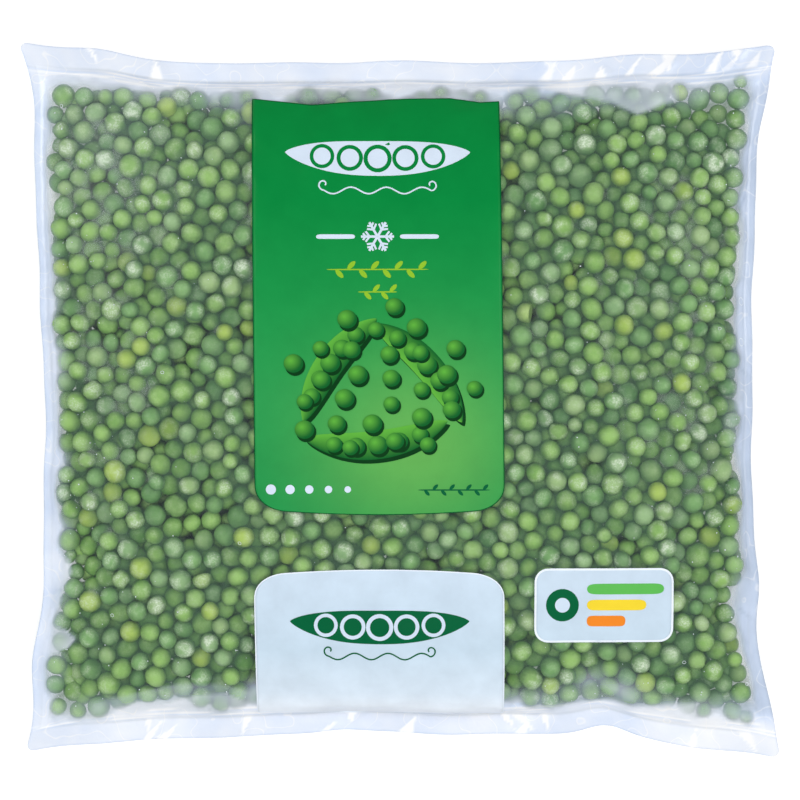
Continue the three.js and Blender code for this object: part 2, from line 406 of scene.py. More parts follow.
def pack_peas():
    """Middles and radii of the peas that fill the bag."""
    rng = np.random.default_rng(SEED)
    radius = np.clip(rng.normal(PEA_DIAMETER, PEA_SPREAD, PEA_COUNT), PEA_SMALLEST, PEA_LARGEST) / 2
    high, deep = rng.exponential(PEA_SUNK, PEA_COUNT), rng.uniform(*SUNK_DEEP, PEA_COUNT)
    sunk = np.where(rng.uniform(0, 1, PEA_COUNT) < SUNK_SHARE, deep, high)
    low_x, low_y, fields = walls()
    reach_x, reach_y = PACK_REACH
    least, most = (-reach_x, -reach_y, 0), (reach_x, reach_y, BELLY_HEIGHT + 2)
    spots = np.zeros((0, 3))
    while len(spots) < PEA_COUNT:
        tries = rng.uniform(least, most, (PEA_COUNT * 2, 3))
        x, y, z = tries.T
        front, back = (look_up(f[0], low_x, low_y, FIELD_STEP, x, y) for f in fields[:2])
        spots = np.concatenate([spots, tries[(z > back + 1) & (z < front - 1)]])
    spots = spots[:PEA_COUNT]
    for step in range(PACK_STEPS):
        if step % PAIR_REFRESH == 0:
            i, j = near_pairs(spots, PEA_LARGEST + 1.0)
        apart = spots[j] - spots[i]
        distance = np.sqrt((apart**2).sum(axis=1)) + 1e-6
        overlap = np.maximum(0.0, radius[i] + radius[j] - distance)
        push = apart * (PUSH_SHARE * overlap / distance)[:, None]
        for axis, along in enumerate(push.T):
            spots[:, axis] += np.bincount(j, along, PEA_COUNT) - np.bincount(i, along, PEA_COUNT)
        room = look_up(fields[2][0], low_x, low_y, FIELD_STEP, spots[:, 0], spots[:, 1])
        keep_inside(spots, radius, sunk * smooth(room / SUNK_FADE), low_x, low_y, fields)
    return spots, radius


def fill_holes(spots, radius):
    """Adds small peas on the back film where no other lies over it, so that the table doesn't show."""
    a_lines = np.arange(-HALF_WIDTH, HALF_WIDTH, FILLER_STEP)
    b_lines = np.arange(-HALF_LENGTH, HALF_LENGTH, FILLER_STEP)
    a, b = np.meshgrid(a_lines, b_lines, indexing="ij")
    x, y = to_bag(a, b)
    low = back_height(a, b)
    thick = front_height(a, b) - low
    most = np.minimum((thick - 1.0) / 2, room_at(a, b) + 0.5).clip(0, FILLER_SIZES[1])
    hole = (stamp(spots, radius, a_lines, b_lines, 1) < -100) & (most > FILLER_SIZES[0])
    for i, j in np.random.default_rng(SEED + 4).permutation(np.argwhere(hole)):
        apart = np.hypot(x - x[i, j], y - y[i, j])
        spot = np.array([x[i, j], y[i, j], low[i, j] + FILLER_SIZES[0] + FILM_GAP])
        deep = thick[i, j] > DEEP_FILLER_FROM
        free = (np.sqrt(((spots - spot) ** 2).sum(axis=1)) - radius).min()
        free += DEEP_FILLER_OVERLAP if deep else FILLER_OVERLAP
        if hole[i, j] and free > FILLER_SIZES[0] and (deep or (hole & (apart < 1.5)).sum() > 2):
            filler = min(most[i, j], free)
            spot[2] += filler - FILLER_SIZES[0]
            spots, radius = np.vstack([spots, spot]), np.append(radius, filler)
            hole &= apart > filler
    return spots, radius


# Drawing the film tight


def stamp(spots, radius, a_lines, b_lines, way):
    """Height of the outermost pea over each point of the sheet's grid, or far inside where there is none."""
    a, b = np.meshgrid(a_lines, b_lines, indexing="ij")
    x, y = to_bag(a, b)
    step = a_lines[1] - a_lines[0]
    mid_a, mid_b = to_sheet(spots[:, 0], spots[:, 1])
    i0 = np.round((mid_a - a_lines[0]) / step).astype(int)
    j0 = np.round((mid_b - b_lines[0]) / step).astype(int)
    reach = int(math.ceil(PEA_LARGEST / 2 / step * 1.05)) + 1
    top = np.full(a.shape, -1e3)
    for di in range(-reach, reach + 1):
        for dj in range(-reach, reach + 1):
            i = np.clip(i0 + di, 0, len(a_lines) - 1)
            j = np.clip(j0 + dj, 0, len(b_lines) - 1)
            square = radius**2 - (x[i, j] - spots[:, 0]) ** 2 - (y[i, j] - spots[:, 1]) ** 2
            hit = square > 0
            np.maximum.at(top, (i[hit], j[hit]), way * spots[hit, 2] + np.sqrt(square[hit]))
    return top


def widen(field, cells):
    """The highest value within a square of cells round each point."""
    for axis in (0, 1):
        best = field.copy()
        for shift in range(1, cells + 1):
            best = np.maximum(best, np.roll(field, shift, axis))
            best = np.maximum(best, np.roll(field, -shift, axis))
        field = best
    return field


def soften(field, cells, rounds=3):
    """A soft blur: a running mean, some rounds over."""
    for _ in range(rounds):
        for axis in (0, 1):
            field = sum(np.roll(field, s, axis) for s in range(-cells, cells + 1)) / (2 * cells + 1)
    return field


def print_cover(x, y, feather=2.6):
    """1 on the printed panels, fading to 0 past their edges."""
    cover = 0.0
    for panel in PANELS:
        across = np.minimum(x - panel["left"], panel["right"] - x)
        along = np.minimum(y - panel["bottom"], panel["top"] - y)
        cover = cover + smooth(np.minimum(across, along) / feather + 0.9)
    return np.clip(cover, 0, 1)


def draw_tight(start, under, held, pull, turns):
    """Relaxes a sheet over what is under it, keeping it where held."""
    z = np.maximum(start, under)
    for _ in range(turns):
        around = (z[:-2, 1:-1] + z[2:, 1:-1] + z[1:-1, :-2] + z[1:-1, 2:]) / 4 - pull[1:-1, 1:-1]
        z[1:-1, 1:-1] = np.where(held[1:-1, 1:-1], start[1:-1, 1:-1], np.maximum(around, under[1:-1, 1:-1]))
    return z


def make_film(spots, radius):
    """Heights of the front and the back film, and how far each is from the peas, on the sheet's grid."""
    a_lines = np.arange(-HALF_WIDTH, HALF_WIDTH + FILM_STEP, FILM_STEP)
    b_lines = np.arange(-HALF_LENGTH, HALF_LENGTH + FILM_STEP, FILM_STEP)
    a, b = np.meshgrid(a_lines, b_lines, indexing="ij")
    x, y = to_bag(a, b)
    share = fullness(a, b)
    crease = crease_height(a, b)
    held = share <= 0.0
    cover = print_cover(x, y) * smooth(share * 4)
    slack = smooth(0.5 + 1.5 * wander(a, 0 * b + 30 * np.sign(b), 21, SEED + 32))
    slack = slack * (1 - smooth((from_seal(b) - 3) / 5)) * smooth(share * 3)
    stiff = np.maximum(cover, slack)
    sag = FILM_SAG * FILM_STEP**2 / 4

    peas = stamp(spots, radius, a_lines, b_lines, 1)
    under = peas + FILM_GAP
    bridged = widen(np.maximum(under, crease), round(BRIDGE_REACH / FILM_STEP))
    bridged = soften(bridged, round(BRIDGE_BLUR / FILM_STEP))
    floor = np.maximum(under, crease * 0.6)
    floor = np.where(stiff > 0, np.maximum(floor, bridged - (1 - stiff) * 6), floor)
    start = np.where(held, crease + FILM_EDGE / 2, front_height(a, b))
    front = draw_tight(start, floor, held, sag * (1 - stiff), FILM_TURNS)
    front += gathers(a, b) * (1 - cover) * smooth(share * 5) * 0.8
    front = np.maximum(front, np.where(held, -1e3, floor))

    below = stamp(spots, radius, a_lines, b_lines, -1)
    start = np.where(held, -(crease - FILM_EDGE / 2), -back_height(a, b))
    floor = np.minimum(np.maximum(below + FILM_GAP, -crease), 0.0)
    back = -np.minimum(draw_tight(start, floor, held, np.full_like(a, sag), FILM_TURNS), 0.0)
    back = np.minimum(back, front - FILM_EDGE)
    film = {"a0": a_lines[0], "b0": b_lines[0], "front": front, "back": back}
    for side, gap in (("front", front - peas), ("back", -back - below)):
        film[side + "_gap"] = soften(np.clip(gap, 0, 6), 1, 2)
        film[side + "_open"] = soften(np.clip(gap, 0, 6), round(OPEN_REACH / FILM_STEP), 2)
    return film


def on_film(film, key, a, b):
    return look_up(film[key], film["a0"], film["b0"], FILM_STEP, a, b)


def band_folds(a, b):
    """Tent-like creases across the seal bands: how far they lift the film, and the painted highlight on one
    side of each.
    """
    rng = np.random.default_rng(SEED + 2)
    into = HALF_LENGTH - np.abs(b)
    lift, shine = np.zeros_like(a), np.zeros_like(a)
    for end in (1, -1):
        on = (np.sign(b) == end) * (1 - smooth((into - SEAL_BAND + 1.0) / 1.6))
        for _ in range(BAND_FOLDS):
            at, lean, high = rng.uniform(-1, 1), rng.normal(0, 0.3), rng.uniform(0.2, 0.6)
            at = 116 * (1 - 2 * (0.5 - 0.5 * at) ** 1.4)  # more of them to the right
            wide, tall = rng.uniform(2.0, 6.5), rng.uniform(0.6, 1.5)
            up = into / SEAL_BAND if rng.uniform() < 0.5 else 1 - into / SEAL_BAND
            half = wide * np.clip(1 - up / tall, 0, 1)
            t = (a - at - lean * into) / np.maximum(half, 0.8)
            strength = on * rng.uniform(0.3, 1.0) * smooth(half / 1.4)
            lift += high * np.maximum(0, 1 - np.abs(t)) * strength
            # Painted highlight on one side of each crease.
            shine = np.maximum(shine, smooth(1.8 * (1 - np.abs(2 * t + 1))) * strength)
    return lift, shine


def border_creases(a, b):
    """Fine wavy creases along the inner border of each seal band: lift, and painted shade and highlight, a
    dark line on each crease and a light one beside it.
    """
    into = HALF_LENGTH - np.abs(b)
    lift, shade = np.zeros_like(a), np.zeros_like(a)
    for k, offset in enumerate(BORDER_CREASES):
        row = b * 0 + 40 * k + 9 * np.sign(b)
        line = SEAL_BAND + offset + 0.7 * wander(a, row, 17, SEED + 5 + k)
        here = smooth(wander(a, row, 11, SEED + 9 + k) * 1.6 + 0.5)
        lift += 0.1 * here * bell(into - line, 0.4)
        # Painted shade on each crease and a painted highlight beside it.
        shade += here * (0.6 * bell(into - line - 0.45, 0.35) - 0.45 * bell(into - line, 0.3))
    return lift, shade


def flaps(a, b):
    """Folds of slack film: how white each point is, how far it is lifted, and the painted shade beside the
    fold line.
    """
    x, y = to_bag(a, b)
    white, lift, dark = np.zeros_like(a), np.zeros_like(a), np.zeros_like(a)
    rows = [(x, y, *row) for row in FLAPS_ACROSS] + [(y, x, *row) for row in FLAPS_ALONG]
    for run, off, line, side, fade, strength in rows:
        at, line_at = np.array(line).T
        into = side * (off - np.interp(run, at, line_at))
        ends = smooth((run - at[0]) / 5) * smooth((at[-1] - run) / 5)
        edge = 2.2 + 1.2 * wander(run, 0 * run + 50 * side, 8, SEED + 33)
        fading = strength * ends * smooth(into / edge) * np.exp(-np.maximum(into, 0) / fade)
        white = np.maximum(white, fading)
        lift += 0.3 * ends * bell(into - 0.3, 0.8)
        # Painted shade beside each fold line.
        dark += 0.5 * ends * bell(into + 0.7, 0.6)
    return white, lift * smooth(fullness(a, b) * 6), dark


def film_look(film, side, a, b):
    """How milky each point is, its shade from dull to white with painted shade and highlights, and the share
    of the milk that is painted dark green shade over the gaps between the peas.
    """
    gap = smooth(on_film(film, side + "_gap", a, b) / 5.0)
    empty = smooth((on_film(film, side + "_open", a, b) - 2.9) / 2.2)
    at_side = (from_lip(a) + 1.2 * (a > 0) + 3.5 * wander(a, b, 11, SEED + 20)) / 8.0
    soft = 12.0 + 5.0 * wander(a, b * 0 + 30 * np.sign(b), 24, SEED + 21)
    start = 2.0 + 2.4 * wander(a, b * 0 + 30 * np.sign(b), 15, SEED + 22)
    at_end = (from_seal(b) - start) / soft
    near = np.maximum(1 - smooth(at_side), 1 - smooth(at_end))
    patch = wander(a, b, 9, SEED + 23) * 0.6 + wander(a, b, 3.5, SEED + 24) * 0.4
    haze = 0.16 + 0.4 * np.maximum(patch, 0)
    milk = 0.03 + 0.05 * bell(np.hypot(a + 100, b - 92), 34)
    milk = milk + near * (haze + 0.1 * gap + (0.66 + 0.2 * patch) * near * empty)
    sealed = np.maximum(1 - smooth(from_seal(b) / 0.8), 1 - smooth(from_lip(a) / 1.2))
    milk = np.clip(milk + (0.8 - milk) * sealed, 0, 0.92)
    # Painted shade: dark green over the gaps between the peas, and more of it on the back film.
    painted_gap_shade = PAINTED_GAP_SHADE * gap + (0.2 if side == "back" else 0.0)
    painted_gap_shade = painted_gap_shade * (1 - empty) ** 2 * (1 - 0.5 * near) * (1 - sealed)
    at_band = 1 - smooth((from_seal(b) - 1.0) / 9.0)
    low_right = smooth((a - 70) / 20) * smooth(-b / 20)
    # Painted light and shade by place: the seal bands are painted lighter, less so towards the right and more
    # so low at the right, open film near the edges a little lighter, and the film by the right side darker.
    shade = 0.25 * patch + at_band * (0.28 - 0.22 * smooth((a - 20) / 40) + 0.45 * low_right)
    shade = shade + 0.15 * near * empty - 0.7 * smooth((a - 100) / 10) * (1 - at_band)
    if side == "front":
        # Painted highlights on the band creases, painted shade and highlight by the border creases, whiter
        # slack film in the flaps and painted shade by their fold lines.
        shine = band_folds(a, b)[1]
        lines = border_creases(a, b)[1]
        white, _, dark = flaps(a, b)
        milk = milk + (0.9 - milk) * white * (0.75 + 0.25 * patch)
        milk = np.clip(milk + 0.2 * shine + 0.2 * np.abs(lines) + 0.06 * dark, 0, 0.96)
        shade = shade + 1.3 * shine + lines + 0.4 * white - dark
    rim = 1 - smooth(np.minimum(HALF_LENGTH - np.abs(b), HALF_WIDTH - np.abs(a)) / 0.5)
    both = 1 - (1 - milk) * (1 - painted_gap_shade)
    return both, np.clip(shade - 0.5 * rim, -1, 1), (both - milk) / both


def film_top(film, a, b):
    """Height of the finished front film, with its folds and creases."""
    return on_film(film, "front", a, b) + band_folds(a, b)[0] + border_creases(a, b)[0] + flaps(a, b)[1]


# Building meshes


def new_mesh(name, points, faces, material, flat=0):
    """A mesh object from points in millimetres, smooth but for the given number of flat faces at the end."""
    mesh = bpy.data.meshes.new(name)
    mesh.from_pydata((np.asarray(points) * MM).tolist(), [], faces)
    mesh.polygons.foreach_set("use_smooth", np.arange(len(faces)) < len(faces) - flat)
    mesh.materials.append(material)
    mesh.update()
    piece = bpy.data.objects.new(name, mesh)
    bpy.context.collection.objects.link(piece)
    return piece


def set_attribute(mesh, name, values, kind="FLOAT"):
    layer = mesh.attributes.new(name, kind, "POINT")
    key = "value" if kind == "FLOAT" else "vector"
    layer.data.foreach_set(key, np.asarray(values, dtype=np.float32).ravel())


def grid_faces(rows, columns, first=0, flip=False):
    """Quads of a grid of points stored row by row."""
    i, j = np.meshgrid(np.arange(rows - 1), np.arange(columns - 1), indexing="ij")
    k = (first + i * columns + j).ravel()
    quads = np.stack([k, k + columns, k + columns + 1, k + 1], axis=1)
    return (quads[:, ::-1] if flip else quads).tolist()


def rim_of(rows, columns):
    """Grid places round the rim, in order."""
    low_end = [(i, 0) for i in range(rows)]
    right = [(rows - 1, j) for j in range(1, columns)]
    high_end = [(i, columns - 1) for i in range(rows - 2, -1, -1)]
    left = [(0, j) for j in range(columns - 2, 0, -1)]
    return low_end + right + high_end + left


def ring_faces(front_loop, back_loop):
    """Quads that join the two loops round the rim."""
    return list(zip(front_loop, back_loop, back_loop[1:] + back_loop[:1], front_loop[1:] + front_loop[:1]))


def spaced(half, insets, step):
    """An odd number of lines from -half to half: at the insets from each end, then about a step apart."""
    inner = half - insets[-1]
    middle = np.linspace(-inner, inner, 2 * int(round(inner / step)) + 1)
    ends = half - np.array(insets[:-1])
    return np.concatenate([-ends, middle, ends[::-1]])


def film_piece(film, material):
    """The film as one closed tube: a fine front, a back on every second line, and the rim between them."""
    a_unit = spaced(HALF_WIDTH, SIDE_LINES, MESH_STEP) / HALF_WIDTH
    b_lines = spaced(HALF_LENGTH, END_LINES, MESH_STEP)
    unit, b = np.meshgrid(a_unit, b_lines, indexing="ij")
    a = unit * half_width_at(b)
    x, y = to_bag(a, b)
    rows, columns = a.shape
    index = np.full((rows, columns), -1)
    index[::2, ::2] = 0
    index[[0, -1], :] = 0
    index[:, [0, -1]] = 0
    kept = index == 0
    index[kept] = rows * columns + np.arange(kept.sum())
    front = np.stack([x, y, film_top(film, a, b)], axis=-1)
    back = np.stack([x, y, on_film(film, "back", a, b) + band_folds(a, b)[0]], axis=-1)
    faces = grid_faces(rows, columns)
    round_cell = ((0, 0), (0, 1), (0, 2), (1, 2), (2, 2), (2, 1), (2, 0), (1, 0))
    for i in range(0, rows - 2, 2):
        for j in range(0, columns - 2, 2):
            ring = [int(index[i + di, j + dj]) for di, dj in round_cell]
            faces.append([k for k in ring if k >= 0])
    rim = rim_of(rows, columns)
    faces += ring_faces([i * columns + j for i, j in rim], [int(index[k]) for k in rim])
    points = np.concatenate([front.reshape(-1, 3), back[kept]])
    piece = new_mesh("film", points, faces, material, flat=len(rim))

    looks = [film_look(film, side, a, b) for side in ("front", "back")]
    for k, name in enumerate(("milk", "shade", "painted_gap_shade")):
        set_attribute(piece.data, name, np.concatenate([looks[0][k].ravel(), looks[1][k][kept]]))

    layer = piece.data.uv_layers.new(name="OFBake")
    flat_a = (a / HALF_WIDTH + 1) / 2
    flat_b = 0.01 + 0.98 * (b / HALF_LENGTH + 1) / 2
    front_place = np.stack([0.01 + 0.48 * flat_a, flat_b], axis=-1).reshape(-1, 2)
    back_place = np.stack([0.99 - 0.48 * flat_a, flat_b], axis=-1)[kept]
    corners = np.empty(len(piece.data.loops), dtype=np.int32)
    piece.data.loops.foreach_get("vertex_index", corners)
    layer.data.foreach_set("uv", np.concatenate([front_place, back_place])[corners].ravel())
    return piece


def panel_grid(panel, step=1.05):
    """Points of a printed panel, row by row from its left edge, with its round corners and top line."""
    left, right, bottom, top, lean = (panel[key] for key in ("left", "right", "bottom", "top", "lean"))
    wide, high = panel["corner"]
    tall = top - bottom
    bend = high * (1 - np.cos(np.linspace(0, math.pi / 2, 15)))
    middle = np.linspace(high, tall - high, int((tall - 2 * high) / step))[1:-1]
    heights = np.concatenate([bend, middle, tall - bend[::-1]])
    u, height = np.meshgrid(np.linspace(0, 1, int((right - left) / step)), heights, indexing="ij")
    inset = np.zeros_like(height)
    rounded = panel["round"]
    for near, sharp_end in ((height, "top"), (tall - height, "bottom")):
        if rounded != sharp_end:
            past = np.clip(1 - near / high, 0, 1)
            inset = np.maximum(inset, wide * (1 - (1 - past**2.2) ** (1 / 2.2)))
    x = left + inset + u * (right - left - 2 * inset)
    off_middle = panel["bow"] * (2 * (x - left) / (right - left) - 1) ** 2
    y = bottom + height
    if rounded == "bottom":
        y = y + off_middle * (1 - height / tall) ** 6
    else:
        y = y - off_middle * (height / tall) ** 6
    x = x + lean * (0.5 - height / tall)
    if "top_line" in panel:
        y = y + np.interp(x, *np.array(panel["top_line"]).T) * (height / tall) ** 6
    return x, y


def panel_piece(name, panel, film, material):
    """One field of ink on the front film, a thin closed layer."""
    x, y = panel_grid(panel)
    a, b = to_sheet(x, y)
    z = film_top(film, a, b)
    rows, columns = x.shape
    upper = np.stack([x, y, z + INK_LIFT], axis=-1).reshape(-1, 3)
    lower = upper - (0, 0, INK_THICK)
    count = len(upper)
    faces = grid_faces(rows, columns) + grid_faces(rows, columns, first=count, flip=True)
    loop = [i * columns + j for i, j in rim_of(rows, columns)]
    faces += ring_faces(loop, [count + k for k in loop])
    return new_mesh(name, np.concatenate([upper, lower]), faces, material, flat=len(loop))


# Shapes printed on the panels: each is points in the plane, faces, an ink for each point and a layer


def inked(x, y, faces, dark, light, lit, layer):
    lit = np.clip(np.broadcast_to(lit, x.shape), 0, 1).ravel()[:, None]
    ink = np.array(dark) * (1 - lit) + np.array(light) * lit
    return {"x": x.ravel(), "y": y.ravel(), "faces": faces, "ink": ink, "layer": layer}


def turned(x, y, across, along, turn):
    """The place that lies across and along from x, y, once turned about it."""
    place_x = x + across * math.cos(turn) - along * math.sin(turn)
    place_y = y + across * math.sin(turn) + along * math.cos(turn)
    return place_x, place_y


def disc(x, y, wide, tall=None, dark=None, light=None, layer=0, rings=5, sides=26):
    """A filled ellipse. Its light tone, if it has one, shines from the upper left."""
    tall = tall or wide
    angle = np.arange(sides) * 2 * math.pi / sides
    reach = np.repeat(np.arange(1, rings + 1) / rings, sides)
    u = np.concatenate([[0], reach * np.tile(np.cos(angle), rings)])
    v = np.concatenate([[0], reach * np.tile(np.sin(angle), rings)])
    faces = [(0, 1 + k, 1 + (k + 1) % sides) for k in range(sides)]
    for ring in range(rings - 1):
        near, far = 1 + ring * sides, 1 + (ring + 1) * sides
        faces += [(near + k, far + k, far + (k + 1) % sides, near + (k + 1) % sides) for k in range(sides)]
    lit = 1 - np.hypot(u + 0.3, v - 0.3) / 1.15
    return inked(x + u * wide / 2, y + v * tall / 2, faces, dark, light or dark, lit, layer)


def pod(x, y, length, width, dark, light=None, bend=0.0, turn=0.0, power=2.0, tip=0.6, layer=0, steps=30):
    """A long shape that narrows to both ends: a pod, a leaf or a bar. A higher power makes it squarer."""
    along_it = np.sin(np.linspace(-1, 1, steps) * math.pi / 2)
    s, t = np.meshgrid(along_it, np.linspace(-1, 1, 7), indexing="ij")
    half = np.maximum(0, 1 - np.abs(s) ** power) ** tip * width / 2
    place_x, place_y = turned(x, y, s * length / 2, bend * (1 - s * s) + t * half, turn)
    return inked(place_x, place_y, grid_faces(*s.shape), dark, light or dark, 0.5 + 0.5 * t, layer)


def stroke(x, y, width, ink, layer=0):
    """A line of even width along a curve."""
    along_x, along_y = np.gradient(x), np.gradient(y)
    length = np.hypot(along_x, along_y)
    side = np.array([-0.5, 0.5]) * width
    place_x = x[:, None] - (along_y / length)[:, None] * side
    place_y = y[:, None] + (along_x / length)[:, None] * side
    return inked(place_x, place_y, grid_faces(len(x), 2), ink, ink, 0, layer)


def peas_in_pod(x, y, length, ink, paper):
    """A pod seen from its side, with a row of five peas."""
    shapes = [pod(x, y, length, length * 0.19, bend=-length * 0.035, power=2.6, tip=0.75, dark=ink)]
    for k in range(-2, 3):
        size = length * (0.125 - 0.008 * abs(k))
        pea_x, pea_y = x + k * length * 0.15, y - length * 0.035 * (1 - (k * 0.3) ** 2)
        shapes.append(disc(pea_x, pea_y, size * 1.22, dark=paper, layer=1))
        shapes.append(disc(pea_x, pea_y, size * 0.86, dark=ink, layer=2))
    return shapes


def tendril(x, y, length, ink):
    """A thin waving line that curls up at both ends."""
    t = np.linspace(-1, 1, 90)
    shapes = [stroke(x + t * length / 2, y + 1.1 * np.sin(t * 9.5), 0.5, ink)]
    for way in (-1, 1):
        turn = np.linspace(0, 1.7 * math.pi, 40)
        radius = 2.0 * (1 - turn / 7)
        end_y = y + 1.1 * math.sin(way * 9.5)
        curl_x = x + way * (length / 2 + radius * np.sin(turn))
        shapes.append(stroke(curl_x, end_y + 2.0 - radius * np.cos(turn), 0.5, ink))
    return shapes


def snowflake(x, y, size, ink):
    shapes = []
    for k in range(6):
        turn = k * math.pi / 3
        arm = turned(x, y, np.linspace(0.0, size / 2, 6), 0, turn)
        shapes.append(stroke(*arm, size * 0.075, ink))
        for at, reach in ((0.48, 0.2), (0.72, 0.13)):
            start = turned(x, y, at * size / 2, 0, turn)
            for way in (-1, 1):
                branch = turned(*start, np.linspace(0, size * reach, 4), 0, turn + way * math.pi / 3.4)
                shapes.append(stroke(*branch, size * 0.06, ink, layer=1))
    return shapes


def sprig(x, y, length, ink, leaf, leaves=8):
    """A thin stem with leaves on its two sides by turns."""
    shapes = [pod(x, y, length, 0.45, power=8, tip=0.5, dark=ink)]
    for k in range(leaves):
        way = 1 if k % 2 else -1
        at = x + (k - (leaves - 1) / 2) * length / (leaves + 0.6)
        leaf_x, leaf_y, turn = at + leaf * 0.32, y + way * leaf * 0.4, way * 0.8
        shapes.append(pod(leaf_x, leaf_y, leaf, leaf * 0.46, turn=turn, dark=ink, layer=1, steps=14))
    return shapes


def border(panel, width, ink):
    """A line of ink round a panel's edge."""
    x, y = panel_grid(panel)
    loop = rim_of(*x.shape)
    loop = np.array(loop + loop[:1])
    return stroke(x[loop[:, 0], loop[:, 1]], y[loop[:, 0], loop[:, 1]], width, ink, layer=-1)


def shadow_of(ink):
    return (*(0.35 * c for c in ink[:3]), 1.0)


def shaded_pea(x, y, size, dark, light, layer):
    """A drawn pea with its shadow at the lower right."""
    return [
        disc(x + 0.09 * size, y - 0.13 * size, size * 1.02, dark=shadow_of(dark), layer=layer),
        disc(x, y, size, size * 0.94, dark=dark, light=light, layer=layer + 1),
    ]


def motif_piece(name, shapes, film, material):
    """Printed shapes as one thin layer that lies on its panel."""
    points, faces, inks = [], [], []
    count = 0
    for shape in shapes:
        a, b = to_sheet(shape["x"], shape["y"])
        z = film_top(film, a, b) + INK_LIFT + MOTIF_LIFT * (2 + shape["layer"])
        points.append(np.stack([shape["x"], shape["y"], z], axis=-1))
        faces += [[count + k for k in face] for face in shape["faces"]]
        inks.append(shape["ink"])
        count += len(shape["x"])
    piece = new_mesh(name, np.concatenate(points), faces, material)
    layer = piece.data.color_attributes.new("ink", "FLOAT_COLOR", "POINT")
    layer.data.foreach_set("color", np.concatenate(inks).astype(np.float32).ravel())
    return piece


def motifs():
    """The design on the panels, as shapes in white ink and shapes in coloured ink."""
    white, leaf = colour(206, 220, 236), colour(140, 186, 44)
    pine, panel_green, paper = colour(0, 92, 54), colour(0, 124, 55), colour(200, 216, 232)
    dark, light = colour(10, 92, 38), colour(92, 172, 60)
    middle = PRINT_MIDDLE
    pale = peas_in_pod(middle, 83, 62, white, panel_green) + tendril(middle, 70, 36, white)
    pale += snowflake(middle, 54.5, 11, white)
    for way in (-1, 1):
        pale.append(pod(middle + way * 14, 54.5, 13, 1.5, power=14, tip=0.5, dark=white))
    for k in range(5):
        pale.append(disc(-43 + k * 6.4, -29.8, 3.4 - 0.3 * k, dark=white))
    pale += [border(WHITE_PANEL, 0.4, colour(226, 235, 246)), border(BADGE, 0.7, colour(230, 238, 248))]
    tinted = [border(GREEN_PANEL, 0.3, colour(0, 84, 40))]
    tinted += sprig(middle, 43.5, 34, leaf, 3.6) + sprig(middle, 36.0, 13, leaf, 3.2, leaves=4)
    for x, y, length, turn, bend in ((-20, 10, 42, 0.95, 4), (6, 9, 44, 2.3, -4), (-8, -10, 48, 0.12, -5)):
        form = {"bend": bend, "turn": turn, "power": 2.4, "tip": 0.7}
        tinted.append(pod(x + 0.9, y - 1.3, length, 9.4, dark=shadow_of(dark), **form))
        tinted.append(pod(x, y, length, 9.5, dark=dark, light=light, layer=1, **form))
        for k in range(-2, 3):
            along = k * length * 0.15
            spot = turned(x, y, along, bend * (1 - (2 * along / length) ** 2), turn)
            tinted += shaded_pea(*spot, 6.6 - 0.5 * abs(k), dark, light, 2)
    for k in range(27):
        turn = 0.35 + k * 2.4
        reach = 5.4 * math.sqrt(k + 0.5)
        spot_x, spot_y = -7.0 + 1.15 * reach * math.cos(turn), 6 + 0.95 * reach * math.sin(turn)
        tinted += shaded_pea(spot_x, spot_y, 6.0 + 0.7 * math.sin(k * 2.1), dark, light, 4)
    tinted += sprig(18, -30, 24, pine, 2.4)
    tinted += peas_in_pod(-6.8, -74, 60, pine, paper) + tendril(-6.8, -86, 34, pine)
    bars = ((26, colour(92, 180, 84)), (20, colour(236, 208, 52)), (13, colour(232, 132, 40)))
    for row, (length, ink) in enumerate(bars):
        tinted.append(pod(62.5 + length / 2, -63.2 - row * 5.4, length, 3.6, power=12, tip=0.5, dark=ink))
    tinted.append(disc(54.3, -68.6, 11, dark=pine))
    tinted.append(disc(54.3, -68.6, 5, dark=paper, layer=1))
    return pale, tinted


# Node helpers


def add(tree, kind, inputs=None, **settings):
    """A node with its settings, and with its inputs set or linked."""
    node = tree.nodes.new(kind)
    for key, value in settings.items():
        setattr(node, key, value)
    for key, value in (inputs or {}).items():
        if isinstance(value, bpy.types.NodeSocket):
            tree.links.new(value, node.inputs[key])
        else:
            node.inputs[key].default_value = value
    return node


def output_of(tree, kind, inputs=None, **settings):
    """The first output of a new node."""
    return add(tree, kind, inputs, **settings).outputs[0]


def calc(tree, operation, *values, clamp=False):
    return output_of(tree, "ShaderNodeMath", dict(enumerate(values)), operation=operation, use_clamp=clamp)


def off_middle(tree, value, middle, times):
    """How far a value is from a middle one, times a number."""
    return calc(tree, "MULTIPLY", calc(tree, "SUBTRACT", value, middle), times)


def scaled(tree, vector, times):
    return output_of(tree, "ShaderNodeVectorMath", {0: vector, "Scale": times}, operation="SCALE")


def blend_colour(tree, factor, first, second):
    return add(tree, "ShaderNodeMix", {0: factor, 6: first, 7: second}, data_type="RGBA").outputs[2]


def remap(tree, value, low, high, to_low=0.0, to_high=1.0, kind="LINEAR"):
    inputs = {0: value, 1: low, 2: high, 3: to_low, 4: to_high}
    return output_of(tree, "ShaderNodeMapRange", inputs, interpolation_type=kind)


def noise(tree, vector, scale, detail=2.0, roughness=0.5):
    inputs = {"Vector": vector, "Scale": scale, "Detail": detail, "Roughness": roughness}
    return add(tree, "ShaderNodeTexNoise", inputs).outputs["Fac"]


def node_group(name, kind, inputs, outputs):
    """An empty node group with its sockets, and the outputs and inputs inside it."""
    tree = bpy.data.node_groups.new(name, kind)
    for label, (sort, default) in inputs.items():
        socket = tree.interface.new_socket(label, in_out="INPUT", socket_type=sort)
        if default is not None:
            socket.default_value = default
    for label, sort in outputs.items():
        tree.interface.new_socket(label, in_out="OUTPUT", socket_type=sort)
    return tree, add(tree, "NodeGroupInput").outputs, add(tree, "NodeGroupOutput").inputs


